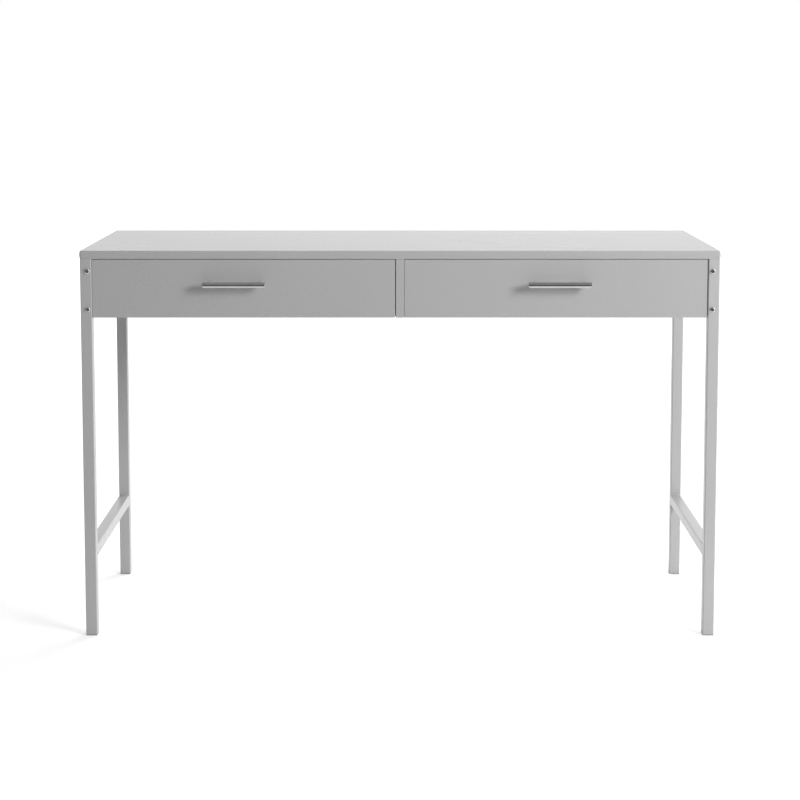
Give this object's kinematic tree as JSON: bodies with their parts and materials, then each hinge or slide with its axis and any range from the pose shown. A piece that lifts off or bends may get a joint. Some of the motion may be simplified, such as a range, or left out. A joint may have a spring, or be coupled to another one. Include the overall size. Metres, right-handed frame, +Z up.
{
  "type": "writing desk",
  "caption": "writing desk with a thin flat top, square-tube legs with low side stretchers, and shallow drawers side by side on ball slides, each with a round bar handle",
  "frame": {"origin": "on the floor, under the middle of the outline from the handles' fronts to the rear bolt heads", "axes": "+X to the right of a person sitting at the desk, +Y away from that person, +Z up; drawers open toward -Y"},
  "size_m": [1.22, 0.5092, 0.75],
  "materials": {
    "painted_board": "satin grey lacquer on board, edges rounded over",
    "coated_steel": "satin grey powder coat",
    "foot_plastic": "moulded grey plastic",
    "bolt_chrome": "bright plated",
    "handle_steel": "finely brushed along the bar",
    "drawer_board": "grey foil-faced board",
    "drawer_bottom_board": "grey-faced hardboard",
    "slide_zinc": "rolled zinc-plated sheet",
    "cage_steel": "bright pressed strip",
    "ball_steel": "polished",
    "beech": "plain turned beech",
    "cam_zinc": "die-cast, as cast",
    "fastener_zinc": "zinc plated"
  },
  "bodies": {
    "desk_frame": {"barrel_nuts": "fastener_zinc", "case_back": "painted_board", "case_bottom": "drawer_bottom_board", "case_cam_bolts": "fastener_zinc", "case_cams": "cam_zinc", "case_dowels": "beech", "case_screws": "fastener_zinc", "centre_divider": "painted_board", "desktop": "painted_board", "foot_glides": "foot_plastic", "left_case_side": "painted_board", "left_front_leg": "coated_steel", "left_inner_case_rail": "slide_zinc", "left_outer_case_rail": "slide_zinc", "left_rear_leg": "coated_steel", "left_stretcher": "coated_steel", "leg_bolts": "bolt_chrome", "right_case_side": "painted_board", "right_front_leg": "coated_steel", "right_inner_case_rail": "slide_zinc", "right_outer_case_rail": "slide_zinc", "right_rear_leg": "coated_steel", "right_stretcher": "coated_steel", "stretcher_welds": "coated_steel"},
    "left_drawer": {"left_drawer_back": "drawer_board", "left_drawer_back_screws": "fastener_zinc", "left_drawer_bottom": "drawer_bottom_board", "left_drawer_cam_bolts": "fastener_zinc", "left_drawer_cams": "cam_zinc", "left_drawer_dowels": "beech", "left_drawer_front": "painted_board", "left_drawer_inner_side": "drawer_board", "left_drawer_outer_side": "drawer_board", "left_drawer_slide_screws": "fastener_zinc", "left_handle": "handle_steel", "left_handle_screws": "fastener_zinc", "left_inner_drawer_rail": "slide_zinc", "left_outer_drawer_rail": "slide_zinc"},
    "right_drawer": {"right_drawer_back": "drawer_board", "right_drawer_back_screws": "fastener_zinc", "right_drawer_bottom": "drawer_bottom_board", "right_drawer_cam_bolts": "fastener_zinc", "right_drawer_cams": "cam_zinc", "right_drawer_dowels": "beech", "right_drawer_front": "painted_board", "right_drawer_inner_side": "drawer_board", "right_drawer_outer_side": "drawer_board", "right_drawer_slide_screws": "fastener_zinc", "right_handle": "handle_steel", "right_handle_screws": "fastener_zinc", "right_inner_drawer_rail": "slide_zinc", "right_outer_drawer_rail": "slide_zinc"},
    "left_outer_cage": {"left_outer_ball_cage": "cage_steel", "left_outer_balls": "ball_steel"},
    "left_inner_cage": {"left_inner_ball_cage": "cage_steel", "left_inner_balls": "ball_steel"},
    "right_outer_cage": {"right_outer_ball_cage": "cage_steel", "right_outer_balls": "ball_steel"},
    "right_inner_cage": {"right_inner_ball_cage": "cage_steel", "right_inner_balls": "ball_steel"}
  },
  "joints": [
    {"name": "left_drawer_slide", "type": "slide", "parent": "desk_frame", "child": "left_drawer", "axis": [0, -1, 0], "range_m": [0, 0.3]},
    {"name": "left_outer_cage_slide", "type": "slide", "parent": "desk_frame", "child": "left_outer_cage", "axis": [0, -1, 0], "range_m": [0, 0.15]},
    {"name": "left_inner_cage_slide", "type": "slide", "parent": "desk_frame", "child": "left_inner_cage", "axis": [0, -1, 0], "range_m": [0, 0.15]},
    {"name": "right_drawer_slide", "type": "slide", "parent": "desk_frame", "child": "right_drawer", "axis": [0, -1, 0], "range_m": [0, 0.3]},
    {"name": "right_outer_cage_slide", "type": "slide", "parent": "desk_frame", "child": "right_outer_cage", "axis": [0, -1, 0], "range_m": [0, 0.15]},
    {"name": "right_inner_cage_slide", "type": "slide", "parent": "desk_frame", "child": "right_inner_cage", "axis": [0, -1, 0], "range_m": [0, 0.15]}
  ],
  "couplings": [
    {"joint": "left_outer_cage_slide", "follows": "left_drawer_slide", "ratio": 0.5},
    {"joint": "left_inner_cage_slide", "follows": "left_drawer_slide", "ratio": 0.5},
    {"joint": "right_outer_cage_slide", "follows": "right_drawer_slide", "ratio": 0.5},
    {"joint": "right_inner_cage_slide", "follows": "right_drawer_slide", "ratio": 0.5}
  ]
}
